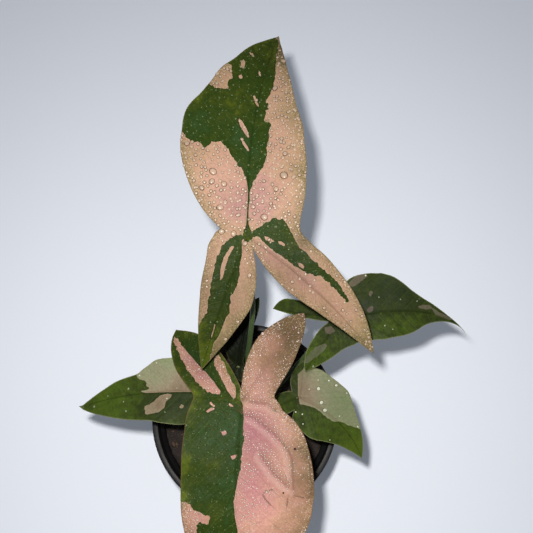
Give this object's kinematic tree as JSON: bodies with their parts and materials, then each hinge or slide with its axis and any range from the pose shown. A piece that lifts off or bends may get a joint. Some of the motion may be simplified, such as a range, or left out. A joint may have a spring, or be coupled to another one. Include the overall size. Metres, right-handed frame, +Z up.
{
  "type": "potted syngonium",
  "caption": "Young arrowhead plant with pink and green lobed leaves on slim petioles, in soil in a round tapered nursery pot.",
  "frame": {"origin": "centre of the pot's flat underside, in the plane that the pot stands on", "axes": "+Z up along the pot's axis, +Y towards the side that the tallest leaf leans to, +X to the right when looking along +Y"},
  "size_m": [0.1992, 0.2666, 0.1787],
  "materials": {
    "pot": "black moulded plastic, satin",
    "soil": "moist dark peat mix",
    "stem": "smooth green stem",
    "petiole": "smooth green stalk",
    "pink_leaf": "satin leaf, pink with green",
    "green_leaf": "satin leaf, green with pale patches"
  },
  "bodies": {
    "root": {"pot": "pot", "soil": "soil", "stem": "stem", "petiole_top": "petiole", "petiole_front": "petiole", "petiole_left": "petiole", "petiole_lower_right": "petiole", "petiole_right": "petiole", "petiole_back": "petiole", "leaf_top": "pink_leaf", "leaf_front": "pink_leaf", "leaf_left": "green_leaf", "leaf_lower_right": "green_leaf", "leaf_right": "green_leaf", "leaf_back": "green_leaf"}
  },
  "joints": []
}
